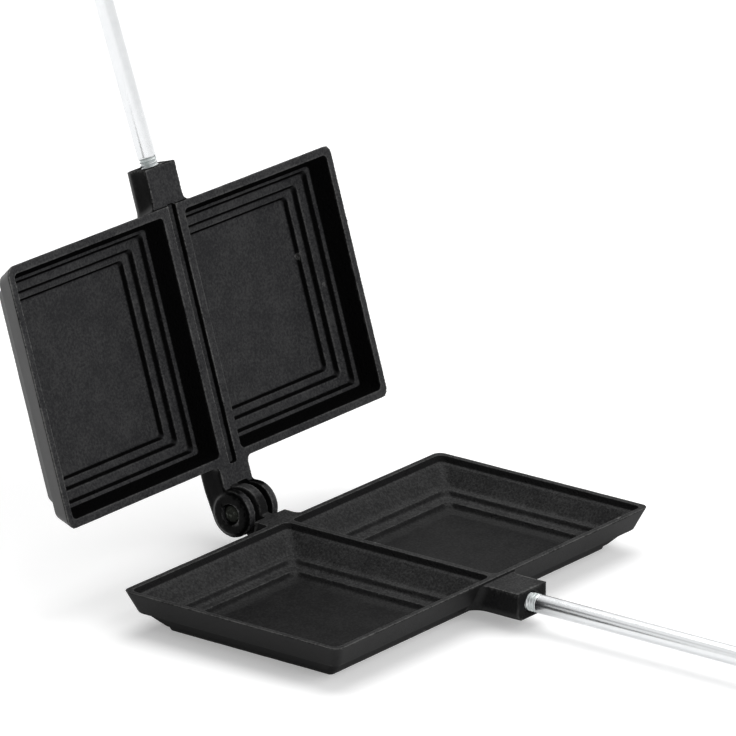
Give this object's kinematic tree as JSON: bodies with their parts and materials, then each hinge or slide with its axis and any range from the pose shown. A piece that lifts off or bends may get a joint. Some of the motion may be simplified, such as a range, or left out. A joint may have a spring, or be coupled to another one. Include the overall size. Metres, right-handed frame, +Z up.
{
  "type": "pie iron",
  "caption": "Double cast iron pie iron: two hinged terraced pans on plated rods with wooden grips, for toasting filled sandwiches over a fire.",
  "frame": {"origin": "middle of the flat foot that the lower pan stands on", "axes": "+Z up, X along the hinge pin, -Y towards the grip of the lower pan"},
  "size_m": [0.22, 0.9431, 0.6809],
  "materials": {
    "iron": "sand cast, seasoned black",
    "plated_steel": "bright zinc plate",
    "pin_steel": "plain drawn steel",
    "wood": "turned hardwood, clear lacquer"
  },
  "bodies": {
    "lower": {"lower_pan": "iron", "hinge_pin": "pin_steel", "lower_rod": "plated_steel", "lower_ferrule": "plated_steel", "lower_grip": "wood", "lower_grip_pin": "pin_steel"},
    "upper": {"upper_pan": "iron", "upper_rod": "plated_steel", "upper_ferrule": "plated_steel", "upper_grip": "wood", "upper_grip_pin": "pin_steel"}
  },
  "joints": [
    {"name": "hinge", "type": "hinge", "parent": "lower", "child": "upper", "pos_m": [0, 0.0776, 0.01885], "axis": [1, 0, 0], "range_deg": [0, 107]}
  ]
}
